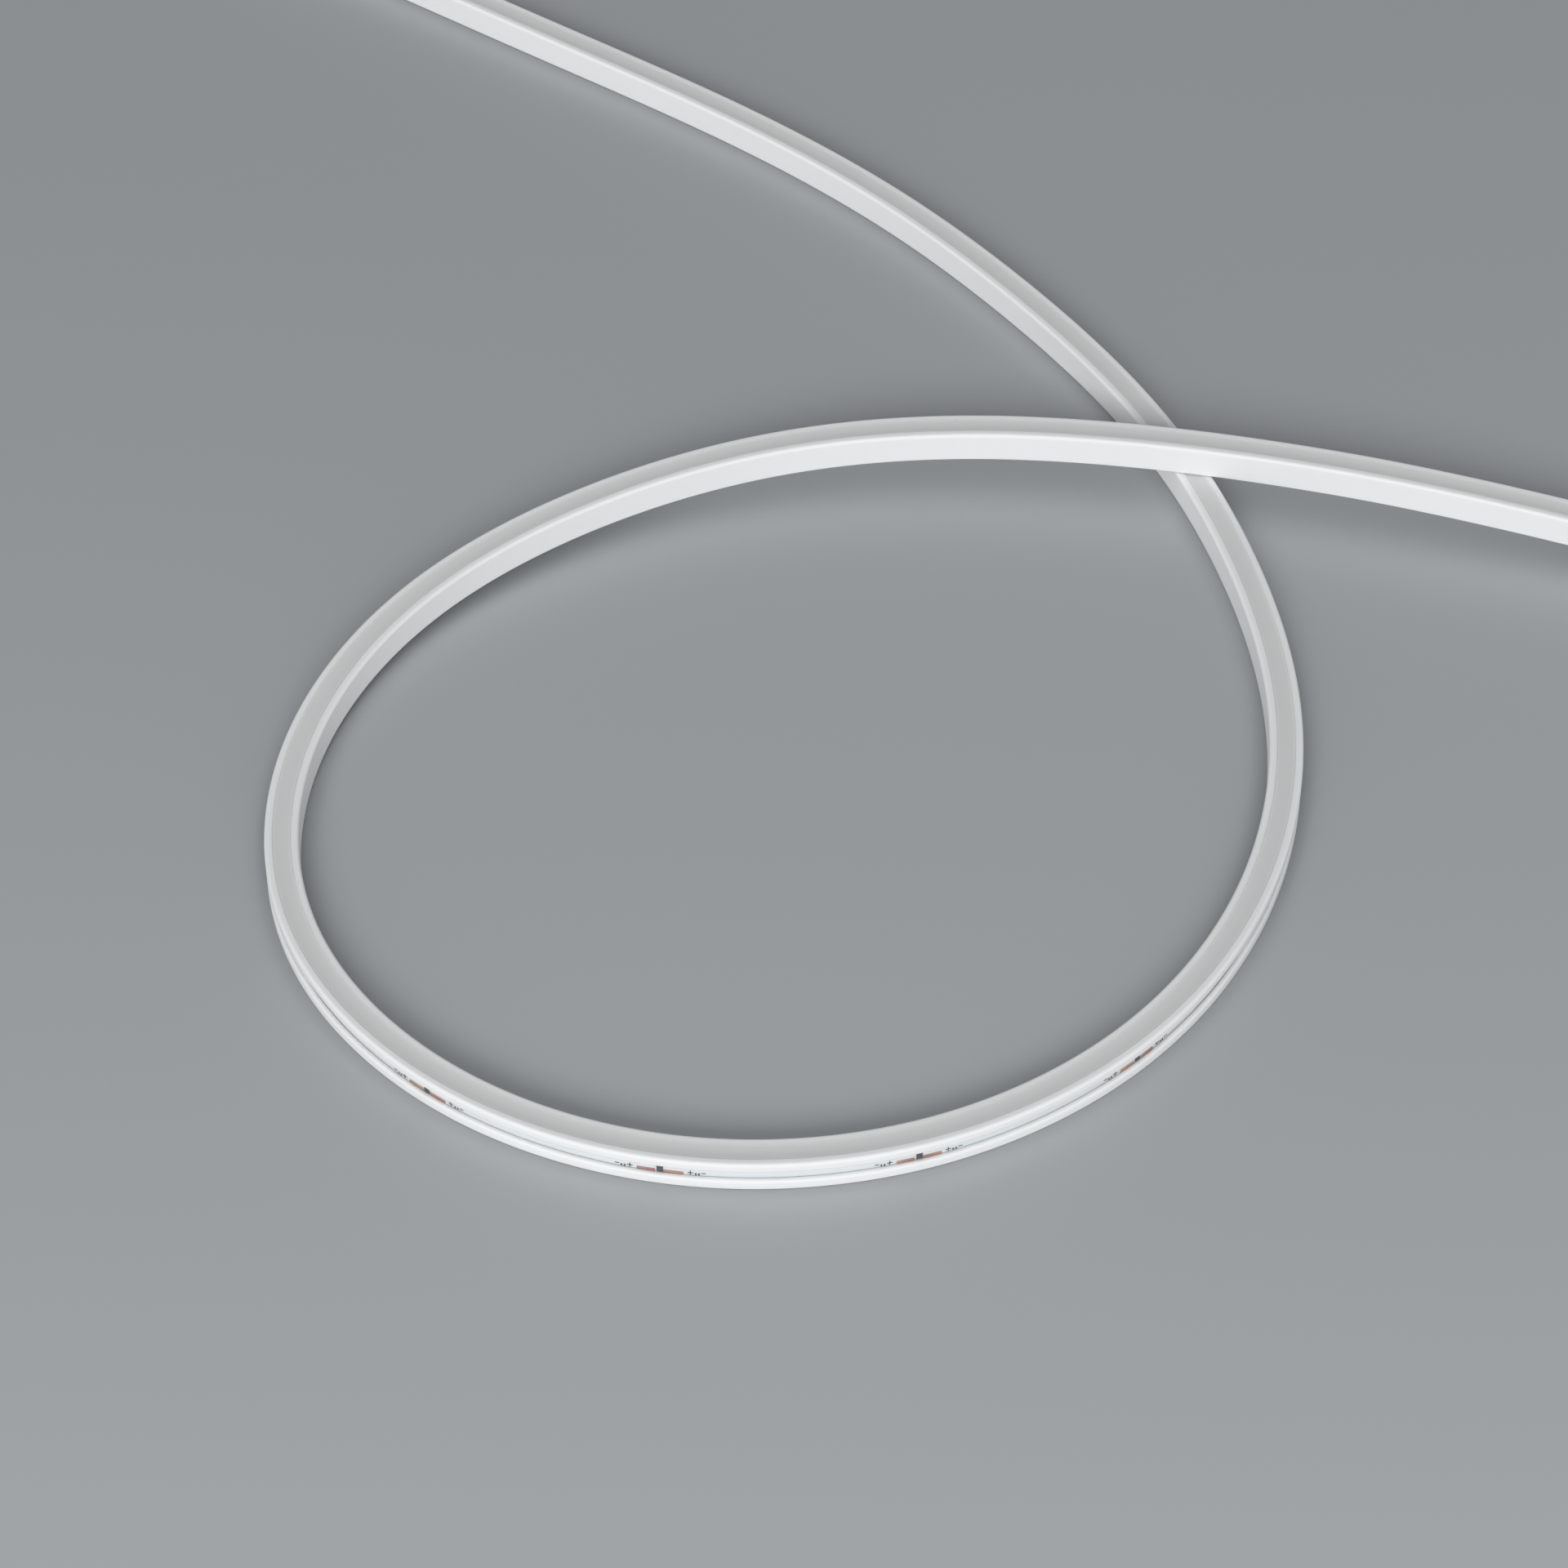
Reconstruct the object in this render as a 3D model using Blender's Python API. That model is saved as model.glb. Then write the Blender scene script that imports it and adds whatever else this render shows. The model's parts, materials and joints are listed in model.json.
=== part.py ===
"""Flexible LED neon strip lying in one open loop that crosses over itself.

The strip is a co-extruded silicone run. A white body and a white rim hold a milky light band in the
top face, and a groove in the outer side shows the upright circuit board through a clear window.
Units are metres, +Z is up, and the origin is the middle of the plan box at floor level.
"""

import math

import bmesh
import bpy
import numpy as np

MM = 0.001

# The section, seen along the run. Across runs from the inner side of the loop to its outer side.
STRIP_WIDTH = 10.0 * MM
STRIP_HEIGHT = 10.0 * MM
RIM_WIDTH = 2.4 * MM  # white on each side of the light band
RIM_DEPTH = 2.8 * MM  # from the top face down to the groove
FLOOR_THICKNESS = 1.8 * MM
LIP_HEIGHT = 3.3 * MM  # from the underside up to the groove
GROOVE_DEPTH = 0.8 * MM  # from the outer side in to the window
WINDOW_THICKNESS = 0.6 * MM
BOARD_THICKNESS = 0.3 * MM
SEAM = 0.1 * MM  # between one extruded layer and the next
EDGE_RADIUS = 0.4 * MM

# What the board carries
UNIT_LENGTH = 71.43 * MM  # from one cut point to the next
UNIT_COUNT = 24
LEDS_PER_UNIT = 6
LED_LENGTH = 3.0 * MM
LED_HEIGHT = 2.0 * MM
LED_DEPTH = 0.7 * MM
RESISTOR_LENGTH = 2.0 * MM
RESISTOR_HEIGHT = 1.2 * MM
RESISTOR_DEPTH = 0.5 * MM
SOLDER_BITE = 0.1 * MM  # how far a soldered package reaches into the board
PADS_LENGTH = 13.4 * MM
PADS_HEIGHT = 1.6 * MM
PADS_THICKNESS = 0.08 * MM
CUT_MARK_LENGTH = 1.8 * MM
CUT_MARK_THICKNESS = 0.12 * MM
PRINT_GAP = 0.04 * MM  # between the board, the pads, the cut mark and the window

# The end caps
CAP_WALL = 1.0 * MM
CAP_FIT = 0.2 * MM
CAP_END_WALL = 2.0 * MM
CAP_GRIP = 12.0 * MM  # length of strip inside a cap
CAP_EDGE_RADIUS = 1.2 * MM
COLLAR_RADIUS = 4.0 * MM
COLLAR_LENGTH = 6.0 * MM
CABLE_HOLE_RADIUS = 2.5 * MM

# The centre line in plan, from the feed end round the loop to the plain end. The width and depth
# of its closed loop set its size, so the points only give its shape.
LOOP_WIDTH = 293.2 * MM
LOOP_DEPTH = 288.6 * MM
ROUTE = [
    (-308, 298),
    (-247, 255),
    (-178, 206),
    (-121, 165),
    (-68, 119),
    (-23, 66),
    (14, 7),
    (38, -59),
    (47, -128),
    (34, -197),
    (-4, -255),
    (-64, -291),
    (-133, -296),
    (-196, -269),
    (-238, -214),
    (-244, -145),
    (-215, -82),
    (-161, -38),
    (-96, -14),
    (-26, -10),
    (43, -20),
    (111, -38),
    (184, -61),
    (256, -88),
    (327, -118),
]
START = 13.0 * MM  # where the feed end lies along the route

# The long low hump in which the strip passes over itself, as lengths of the centre line
CROSSING_GAP = 0.3 * MM
CROSSING_CLIMB = 330 * MM
CROSSING_LEVEL = 90 * MM  # half of it before the crossing
PLAIN_END_ON_FLOOR = 24 * MM
END_RISE = 90 * MM  # length in which an end rises to the height of its cap's wall

CURVE_STEP = 1.0 * MM
LONGEST_FACET = 26.0 * MM
WIDEST_TURN = math.radians(6.5)


def natural_spline(points, step):
    """A smooth curve with even bending through plan points, as closely spaced points."""
    points = np.array(points, dtype=float)
    gaps = np.linalg.norm(np.diff(points, axis=0), axis=1)
    system = np.eye(len(points))
    pull = np.zeros_like(points)
    for i in range(1, len(points) - 1):
        system[i, i - 1 : i + 2] = gaps[i - 1], 2 * (gaps[i - 1] + gaps[i]), gaps[i]
        rise_after = (points[i + 1] - points[i]) / gaps[i]
        rise_before = (points[i] - points[i - 1]) / gaps[i - 1]
        pull[i] = 6 * (rise_after - rise_before)
    bend = np.linalg.solve(system, pull)
    curve = [points[0]]
    for i, gap in enumerate(gaps):
        for along in np.linspace(0, gap, max(2, round(gap / step)) + 1)[1:]:
            left = gap - along
            curve.append(
                (bend[i] * left**3 + bend[i + 1] * along**3) / (6 * gap)
                + (points[i] / gap - bend[i] * gap / 6) * left
                + (points[i + 1] / gap - bend[i + 1] * gap / 6) * along
            )
    return np.array(curve)


def distances(points):
    """The distance along a run of points to each of them."""
    return np.concatenate([[0], np.cumsum(np.linalg.norm(np.diff(points, axis=0), axis=1))])


def sideways(points):
    """The unit direction to the outer side of the loop at each plan point."""
    run = np.gradient(points, axis=0)
    run /= np.linalg.norm(run, axis=1, keepdims=True)
    return np.stack([-run[:, 1], run[:, 0]], axis=1)


def ease(value, low, high):
    """Rises smoothly from 0 at low to 1 at high."""
    share = np.clip((value - low) / (high - low), 0, 1)
    return share * share * (3 - 2 * share)


# Heights in the section, from the underside, and places across it, from its middle
HALF_WIDTH = STRIP_WIDTH / 2
BAND_EDGE = HALF_WIDTH - RIM_WIDTH
RIM_BOTTOM = STRIP_HEIGHT - RIM_DEPTH
WINDOW_FACE = HALF_WIDTH - GROOVE_DEPTH
WINDOW_BACK = WINDOW_FACE - WINDOW_THICKNESS
PRINT_SPACE = PADS_THICKNESS + CUT_MARK_THICKNESS + 3 * PRINT_GAP
BOARD_FACE = WINDOW_BACK - PRINT_SPACE
BOARD_BACK = BOARD_FACE - BOARD_THICKNESS
BOARD_BOTTOM = FLOOR_THICKNESS + SEAM
BOARD_TOP = RIM_BOTTOM - SEAM
LED_MIDDLE = (BOARD_BOTTOM + BOARD_TOP) / 2
CORE_SIDE = min(BOARD_BACK - LED_DEPTH - 2 * SEAM, BAND_EDGE - SEAM)
STRIP_LENGTH = UNIT_COUNT * UNIT_LENGTH
CAP_LIFT = CAP_WALL + CAP_FIT


def find_crossing(plan):
    """The two indices at which a line of plan points comes back to the same place."""
    apart = np.linalg.norm(plan[:, None] - plan[None], axis=2)
    along = distances(plan)
    apart[np.abs(along[:, None] - along[None]) < CROSSING_CLIMB] = np.inf
    return sorted(np.unravel_index(np.argmin(apart), apart.shape))


def lay_route():
    """The strip's centre line, its side directions and its lift, cut to length on the board's line."""
    plan = natural_spline(np.array(ROUTE) * MM, CURVE_STEP)
    under, over = find_crossing(plan)
    plan *= np.array([LOOP_WIDTH, LOOP_DEPTH]) / np.ptp(plan[under:over], axis=0)
    crossing = distances(plan)[over] - START
    heading = plan[-1] - plan[-2]
    heading /= np.linalg.norm(heading)
    spare = np.arange(CURVE_STEP, STRIP_LENGTH, CURVE_STEP)
    plan = np.concatenate([plan, plan[-1] + heading * spare[:, None]])
    route = distances(plan)
    cut = np.arange(START, route[-1], CURVE_STEP)
    plan = np.stack([np.interp(cut, route, plan[:, axis]) for axis in (0, 1)], axis=1)
    side = sideways(plan)
    board = distances(plan + side * BOARD_FACE)
    kept = np.searchsorted(board, STRIP_LENGTH) + 1
    plan, side, board = plan[:kept], side[:kept], board[:kept]
    centre = distances(plan)
    level_from, level_to = crossing - CROSSING_LEVEL / 2, crossing + CROSSING_LEVEL / 2
    climb = ease(centre, level_from - CROSSING_CLIMB, level_from)
    hump = climb - ease(centre, level_to, centre[-1] - PLAIN_END_ON_FLOOR)
    ends = ease(END_RISE - centre, 0, END_RISE) + ease(centre, centre[-1] - END_RISE, centre[-1])
    lift = hump * (STRIP_HEIGHT + CROSSING_GAP) + ends * CAP_LIFT
    return plan, side, board, centre, lift


PLAN, SIDE, BOARD_RUN, CENTRE_RUN, LIFT = lay_route()


def choose_stations():
    """Indices along the laid route, closer together where it bends, at which facets meet."""
    heading = np.unwrap(np.arctan2(SIDE[:, 1], SIDE[:, 0]))
    turn = np.concatenate([[0], np.cumsum(np.abs(np.diff(heading)))])
    effort = turn / WIDEST_TURN + CENTRE_RUN / LONGEST_FACET
    count = math.ceil(effort[-1])
    return np.searchsorted(effort, np.linspace(0, effort[-1], count + 1)).clip(0, len(PLAN) - 1)


STATIONS = choose_stations()
LAST_STATION = len(STATIONS) - 1


def station_at(distance):
    """The station number, with its fraction, at a distance along the board."""
    return float(np.interp(distance, BOARD_RUN[STATIONS], np.arange(len(STATIONS))))


def corners(outline, station):
    """The outline's corners in space at a station number with its fraction."""
    low = min(int(station), LAST_STATION - 1)
    rings = []
    for number in (low, low + 1):
        index = STATIONS[number]
        ring = [
            (*(PLAN[index] + SIDE[index] * across), LIFT[index] + height)
            for across, height in outline
        ]
        rings.append(np.array(ring))
    share = station - low
    return rings[0] * (1 - share) + rings[1] * share


def add_run(bm, outline, start, end):
    """Adds the closed solid of an outline run along the strip between two distances."""
    first, last = station_at(start), station_at(end)
    shortest = 0.02  # as a share of a facet, so that no sliver is made at a station
    between = [i for i in range(LAST_STATION + 1) if first + shortest < i < last - shortest]
    rings = [
        [bm.verts.new(corner) for corner in corners(outline, place)]
        for place in [first, *between, last]
    ]
    faces = [bm.faces.new(rings[0]), bm.faces.new(rings[-1])]
    for near, far in zip(rings, rings[1:]):
        for i in range(len(outline)):
            after = (i + 1) % len(outline)
            faces.append(bm.faces.new((near[i], near[after], far[after], far[i])))
    bmesh.ops.recalc_face_normals(bm, faces=faces)


def make_material(name, colour, roughness, metallic=0.0, alpha=1.0):
    material = bpy.data.materials.new(name)
    material.use_nodes = True
    shader = material.node_tree.nodes["Principled BSDF"]
    shader.inputs["Base Color"].default_value = (*colour, 1)
    shader.inputs["Roughness"].default_value = roughness
    shader.inputs["Metallic"].default_value = metallic
    shader.inputs["Alpha"].default_value = alpha
    return material


def make_object(name, bm, material):
    """One named object from a bmesh, shaded smooth along the run and sharp at its edges."""
    mesh = bpy.data.meshes.new(name)
    bm.to_mesh(mesh)
    bm.free()
    mesh.shade_smooth()
    mesh.set_sharp_from_angle(angle=math.radians(30))
    mesh.materials.append(material)
    thing = bpy.data.objects.new(name, mesh)
    bpy.context.scene.collection.objects.link(thing)
    return thing


def make_run(name, outline, start, end, material):
    bm = bmesh.new()
    add_run(bm, outline, start, end)
    return make_object(name, bm, material)


def cut_or_join(thing, tool, operation):
    """Applies a tool object to a thing with a Boolean modifier, and hides the tool."""
    tool.hide_render = True
    tool.display_type = "WIRE"
    boolean = thing.modifiers.new(tool.name, "BOOLEAN")
    boolean.operation = operation
    boolean.solver = "EXACT"
    boolean.object = tool


def rounded_corner(across, height, across_in, height_in, steps=2):
    """Points of a rounded outer corner. The signs of the _in values point into the section."""
    middle = (across + across_in * EDGE_RADIUS, height + height_in * EDGE_RADIUS)
    points = []
    for i in range(steps + 1):
        angle = math.pi / 2 * i / steps
        points.append(
            (
                middle[0] - across_in * EDGE_RADIUS * math.cos(angle),
                middle[1] - height_in * EDGE_RADIUS * math.sin(angle),
            )
        )
    return points


def body_outline():
    """White floor, tall inner side and low outer lip."""
    lip_inside = WINDOW_BACK
    return [
        *rounded_corner(-HALF_WIDTH, 0, 1, 1, steps=1),
        *reversed(rounded_corner(HALF_WIDTH, 0, -1, 1, steps=1)),
        *rounded_corner(HALF_WIDTH, LIP_HEIGHT, -1, -1, steps=1),
        (lip_inside, LIP_HEIGHT),
        (lip_inside, FLOOR_THICKNESS),
        (-BAND_EDGE, FLOOR_THICKNESS),
        (-BAND_EDGE, STRIP_HEIGHT),
        *reversed(rounded_corner(-HALF_WIDTH, STRIP_HEIGHT, 1, -1)),
    ]


def rim_outline():
    """White rim above the groove."""
    return [
        (BAND_EDGE, RIM_BOTTOM),
        *reversed(rounded_corner(HALF_WIDTH, RIM_BOTTOM, -1, 1, steps=1)),
        *rounded_corner(HALF_WIDTH, STRIP_HEIGHT, -1, -1),
        (BAND_EDGE, STRIP_HEIGHT),
    ]


def core_outline():
    """Milky core: the light band in the top face, and the light chamber under it."""
    inner = -BAND_EDGE + SEAM
    return [
        (inner, FLOOR_THICKNESS + SEAM),
        (CORE_SIDE, FLOOR_THICKNESS + SEAM),
        (CORE_SIDE, RIM_BOTTOM - SEAM),
        (BAND_EDGE - SEAM, RIM_BOTTOM - SEAM),
        (BAND_EDGE - SEAM, STRIP_HEIGHT),
        (inner, STRIP_HEIGHT),
    ]


def block(across_low, across_high, height_low, height_high):
    """A rectangle of the section."""
    return [
        (across_low, height_low),
        (across_high, height_low),
        (across_high, height_high),
        (across_low, height_high),
    ]


def build_extrusions(white, milky, clear):
    make_run("white_body", body_outline(), 0, STRIP_LENGTH, white)
    make_run("outer_rim", rim_outline(), 0, STRIP_LENGTH, white)
    make_run("milky_core", core_outline(), 0, STRIP_LENGTH, milky)
    window = block(WINDOW_BACK, WINDOW_FACE, LIP_HEIGHT + SEAM, RIM_BOTTOM - SEAM)
    make_run("clear_window", window, 0, STRIP_LENGTH, clear)


def build_board(material, package_material):
    """The upright circuit board, with its LEDs and resistors soldered to its back."""
    outline = block(BOARD_BACK, BOARD_FACE, BOARD_BOTTOM, BOARD_TOP)
    board = make_run("led_circuit_board", outline, 0, STRIP_LENGTH, material)
    soldered = BOARD_BACK + SOLDER_BITE
    led = block(
        BOARD_BACK - LED_DEPTH, soldered, LED_MIDDLE - LED_HEIGHT / 2, LED_MIDDLE + LED_HEIGHT / 2
    )
    resistor = block(
        BOARD_BACK - RESISTOR_DEPTH,
        soldered,
        LED_MIDDLE - RESISTOR_HEIGHT / 2,
        LED_MIDDLE + RESISTOR_HEIGHT / 2,
    )
    pitch = UNIT_LENGTH / LEDS_PER_UNIT
    bm = bmesh.new()
    for unit in range(UNIT_COUNT):
        for number in range(LEDS_PER_UNIT):
            middle = unit * UNIT_LENGTH + (number + 0.5) * pitch
            add_run(bm, led, middle - LED_LENGTH / 2, middle + LED_LENGTH / 2)
        middle = unit * UNIT_LENGTH + LEDS_PER_UNIT // 2 * pitch
        add_run(bm, resistor, middle - RESISTOR_LENGTH / 2, middle + RESISTOR_LENGTH / 2)
    packages = make_object("soldered_packages", bm, package_material)
    cut_or_join(board, packages, "UNION")


def build_cut_points(copper, black):
    """Copper pads and a black cut mark on the board's face at each place where the strip may be cut."""
    pads_bottom = LIP_HEIGHT - PADS_HEIGHT / 3
    pads_face = BOARD_FACE + PRINT_GAP + PADS_THICKNESS
    pads = block(BOARD_FACE + PRINT_GAP, pads_face, pads_bottom, pads_bottom + PADS_HEIGHT)
    mark_back = pads_face + PRINT_GAP
    mark = block(
        mark_back, mark_back + CUT_MARK_THICKNESS, LIP_HEIGHT + SEAM, RIM_BOTTOM - SEAM
    )
    for number in range(1, UNIT_COUNT):
        middle = number * UNIT_LENGTH
        half_pads, half_mark = PADS_LENGTH / 2, CUT_MARK_LENGTH / 2
        make_run(f"copper_pads_{number:02d}", pads, middle - half_pads, middle + half_pads, copper)
        make_run(f"cut_mark_{number:02d}", mark, middle - half_mark, middle + half_mark, black)


def rounded_square(half, radius, steps=3):
    """Corners of a square with rounded corners, centred on the middle of the strip's section."""
    points = []
    for corner in range(4):
        for i in range(steps + 1):
            angle = math.pi / 2 * (corner + i / steps)
            sign_x = 1 if corner in (0, 3) else -1
            sign_y = 1 if corner in (0, 1) else -1
            points.append(
                (
                    sign_x * (half[0] - radius) + radius * math.cos(angle),
                    sign_y * (half[1] - radius) + radius * math.sin(angle),
                )
            )
    return points


def place_at_end(is_feed):
    """The middle of the section at an end face, and the directions out of it and across it."""
    index, inward = (0, 1) if is_feed else (len(PLAN) - 1, -1)
    middle = np.array([*PLAN[index], LIFT[index] + STRIP_HEIGHT / 2])
    outward = -inward * np.array([SIDE[index][1], -SIDE[index][0], 0])
    across = np.array([*SIDE[index], 0])
    return middle, outward, across


def build_cap(name, is_feed, material):
    """A moulded silicone cap over an end of the strip. The feed cap has a collar with a cable hole."""
    middle, outward, across = place_at_end(is_feed)

    def in_space(loop, along):
        return [middle + outward * along + across * x + np.array([0, 0, y]) for x, y in loop]

    inside = (STRIP_WIDTH / 2 + CAP_FIT, STRIP_HEIGHT / 2 + CAP_FIT)
    outside = (inside[0] + CAP_WALL, inside[1] + CAP_WALL)
    inner_radius = CAP_EDGE_RADIUS / 3
    face = (outside[0] - CAP_EDGE_RADIUS / 2, outside[1] - CAP_EDGE_RADIUS / 2)
    end = CAP_FIT + CAP_END_WALL
    loops = [
        in_space(rounded_square(inside, inner_radius), CAP_FIT),
        in_space(rounded_square(inside, inner_radius), -CAP_GRIP),
        in_space(rounded_square(outside, CAP_EDGE_RADIUS), -CAP_GRIP),
        in_space(rounded_square(outside, CAP_EDGE_RADIUS), end - CAP_EDGE_RADIUS / 2),
        in_space(rounded_square(face, CAP_EDGE_RADIUS), end),
    ]
    bm = bmesh.new()
    rings = [[bm.verts.new(corner) for corner in loop] for loop in loops]
    bm.faces.new(rings[0])
    bm.faces.new(rings[-1])
    for near, far in zip(rings, rings[1:]):
        for i in range(len(near)):
            after = (i + 1) % len(near)
            bm.faces.new((near[i], near[after], far[after], far[i]))
    bmesh.ops.recalc_face_normals(bm, faces=bm.faces)
    cap = make_object(name, bm, material)
    if is_feed:
        collar = make_rod("cable_collar", COLLAR_RADIUS, end / 2, end + COLLAR_LENGTH, is_feed)
        hole = make_rod(
            "cable_hole", CABLE_HOLE_RADIUS, -CAP_FIT, end + COLLAR_LENGTH + CAP_GRIP, is_feed
        )
        cut_or_join(cap, collar, "UNION")
        cut_or_join(cap, hole, "DIFFERENCE")
    return cap


def make_rod(name, radius, start, end, is_feed, sides=24):
    """A round tool along an end's outward direction, between two distances from the end face."""
    middle, outward, across = place_at_end(is_feed)
    bm = bmesh.new()
    rings = []
    for along in (start, end):
        ring = []
        for i in range(sides):
            angle = 2 * math.pi * (i + 0.5) / sides
            offset = across * radius * math.cos(angle) + np.array([0, 0, radius * math.sin(angle)])
            ring.append(bm.verts.new(middle + outward * along + offset))
        rings.append(ring)
        bm.faces.new(ring)
    for i in range(sides):
        after = (i + 1) % sides
        bm.faces.new((rings[0][i], rings[0][after], rings[1][after], rings[1][i]))
    bmesh.ops.recalc_face_normals(bm, faces=bm.faces)
    return make_object(name, bm, None)


def centre_on_plan():
    """Moves everything so that the origin is the middle of the plan box."""
    depsgraph = bpy.context.evaluated_depsgraph_get()
    places = []
    for thing in bpy.data.objects:
        if not thing.hide_render:
            mesh = thing.evaluated_get(depsgraph).to_mesh()
            places += [vertex.co[:2] for vertex in mesh.vertices]
    middle = (np.min(places, axis=0) + np.max(places, axis=0)) / 2
    for thing in bpy.data.objects:
        thing.location = (-middle[0], -middle[1], 0)
    print("moved to the plan's middle by", np.round(-middle / MM, 3), "mm")


def main():
    for thing in list(bpy.data.objects):
        bpy.data.objects.remove(thing, do_unlink=True)
    white = make_material("white_silicone", (0.86, 0.87, 0.87), 0.42)
    milky = make_material("milky_silicone", (0.52, 0.52, 0.52), 0.38)
    clear = make_material("clear_silicone", (0.85, 0.88, 0.9), 0.15, alpha=0.25)
    board = make_material("white_board", (0.74, 0.77, 0.79), 0.4)
    package = make_material("white_package", (0.8, 0.8, 0.7), 0.3)
    copper = make_material("copper_pad", (0.72, 0.36, 0.2), 0.35, metallic=1.0)
    black = make_material("black_print", (0.03, 0.03, 0.035), 0.5)
    build_extrusions(white, milky, clear)
    build_board(board, package)
    build_cut_points(copper, black)
    build_cap("feed_end_cap", True, white)
    build_cap("plain_end_cap", False, white)
    centre_on_plan()


main()
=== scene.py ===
import json
import math

import bmesh
import bpy
import numpy as np
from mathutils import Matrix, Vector

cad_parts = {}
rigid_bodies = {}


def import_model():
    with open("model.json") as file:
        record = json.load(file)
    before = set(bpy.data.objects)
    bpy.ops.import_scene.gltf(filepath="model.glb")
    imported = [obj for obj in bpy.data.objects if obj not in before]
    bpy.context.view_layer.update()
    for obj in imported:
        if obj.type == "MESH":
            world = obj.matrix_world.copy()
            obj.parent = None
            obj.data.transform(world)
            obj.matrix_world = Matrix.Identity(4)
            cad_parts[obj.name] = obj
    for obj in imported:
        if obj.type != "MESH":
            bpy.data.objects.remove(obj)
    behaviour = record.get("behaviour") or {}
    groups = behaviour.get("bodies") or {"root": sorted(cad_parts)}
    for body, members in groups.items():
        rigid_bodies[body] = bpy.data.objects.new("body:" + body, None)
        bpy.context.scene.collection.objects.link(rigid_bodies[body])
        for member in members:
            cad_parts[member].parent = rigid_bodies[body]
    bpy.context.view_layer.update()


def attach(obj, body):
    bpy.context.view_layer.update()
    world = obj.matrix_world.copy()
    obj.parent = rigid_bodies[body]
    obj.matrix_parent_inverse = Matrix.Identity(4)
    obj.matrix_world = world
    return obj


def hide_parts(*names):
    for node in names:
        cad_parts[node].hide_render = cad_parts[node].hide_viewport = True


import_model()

mm = 0.001
bpy.context.scene.view_settings.view_transform = "Standard"


def addObject(name, data, shown=True):
    thing = bpy.data.objects.new(name, data)
    bpy.context.scene.collection.objects.link(thing)
    thing.hide_render = not shown
    return thing


def meshFrom(name, bm):
    mesh = bpy.data.meshes.new(name)
    bm.to_mesh(mesh)
    bm.free()
    return mesh


def smooth(mesh, sharpAngle):
    mesh.shade_smooth()
    mesh.set_sharp_from_angle(angle=math.radians(sharpAngle))


# route and section

# The strip is modelled straight and level first: x runs along it, y to the side with the window,
# z up, with y = 0 on the face of the circuit board. A node group then lays it on the route.

route = {
    "points": [  # centre line in plan, feed end first
        (-0.308, 0.298), (-0.247, 0.255), (-0.178, 0.206), (-0.121, 0.165), (-0.068, 0.119),
        (-0.023, 0.066), (0.014, 0.007), (0.038, -0.059), (0.047, -0.128), (0.034, -0.197),
        (-0.004, -0.255), (-0.064, -0.291), (-0.133, -0.296), (-0.196, -0.269), (-0.238, -0.214),
        (-0.244, -0.145), (-0.215, -0.082), (-0.161, -0.038), (-0.096, -0.014), (-0.026, -0.010),
        (0.043, -0.020), (0.111, -0.038), (0.184, -0.061), (0.256, -0.088), (0.327, -0.118),
    ],
    "loopWidth": 293.2 * mm,
    "loopDepth": 288.6 * mm,
    "start": 13 * mm,  # the feed end's distance from the first point
    "crossingGap": 0.3 * mm,
    "climb": 330 * mm,  # the run up to the crossing
    "level": 90 * mm,
    "plainEndOnFloor": 24 * mm,
    "endRise": 90 * mm,
    "endLift": 1.2 * mm,  # the caps are wider than the strip, and stand on the floor too
    "middle": (-6.827 * mm, 2.23 * mm),  # as in the CAD model, centred on its plan box
    "step": 1 * mm,
}

section = {
    "width": 10 * mm,
    "height": 10 * mm,
    "rim": 2.4 * mm,  # white on each side of the milky band
    "rimDepth": 2.8 * mm,
    "floor": 1.8 * mm,
    "lip": 3.3 * mm,
    "groove": 0.8 * mm,
    "window": 0.6 * mm,
    "board": 0.3 * mm,
    "boardFace": 3.28 * mm,
    "coreSide": 2.08 * mm,
    "topRadius": 0.9 * mm,
    "footRadius": 0.45 * mm,
    "lipRadius": 0.7 * mm,
    "rimFootRadius": 0.3 * mm,
    "innerRadius": 0.12 * mm,
    "windowRadius": 0.25 * mm,
    "bandDrop": 0.03 * mm,
    "bandDish": 0.2 * mm,  # the band sinks towards its middle
    "dishPoints": 11,
    "step": 3 * mm,
    "sharpAngle": 35,
}

units = {"length": 71.43 * mm, "count": 24}
runLength = units["length"] * units["count"]


def naturalSpline(points, step):
    points = np.array(points, dtype=float)
    gaps = np.linalg.norm(np.diff(points, axis=0), axis=1)
    system, pull = np.eye(len(points)), np.zeros_like(points)
    slopes = np.diff(points, axis=0) / gaps[:, None]
    for i in range(1, len(points) - 1):
        system[i, i - 1 : i + 2] = gaps[i - 1], 2 * (gaps[i - 1] + gaps[i]), gaps[i]
        pull[i] = 6 * (slopes[i] - slopes[i - 1])
    bend = np.linalg.solve(system, pull)
    curve = [points[0]]
    for i, gap in enumerate(gaps):
        for along in np.linspace(0, gap, max(2, round(gap / step)) + 1)[1:]:
            left = gap - along
            curve.append(
                (bend[i] * left**3 + bend[i + 1] * along**3) / (6 * gap)
                + (points[i] / gap - bend[i] * gap / 6) * left
                + (points[i + 1] / gap - bend[i + 1] * gap / 6) * along
            )
    return np.array(curve)


def distances(points):
    return np.concatenate([[0], np.cumsum(np.linalg.norm(np.diff(points, axis=0), axis=1))])


def ease(value, low, high):
    share = np.clip((value - low) / (high - low), 0, 1)
    return share * share * (3 - 2 * share)


def sideways(plan):
    run = np.gradient(plan, axis=0)
    run /= np.linalg.norm(run, axis=1, keepdims=True)
    return np.stack([-run[:, 1], run[:, 0]], axis=1)


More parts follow.
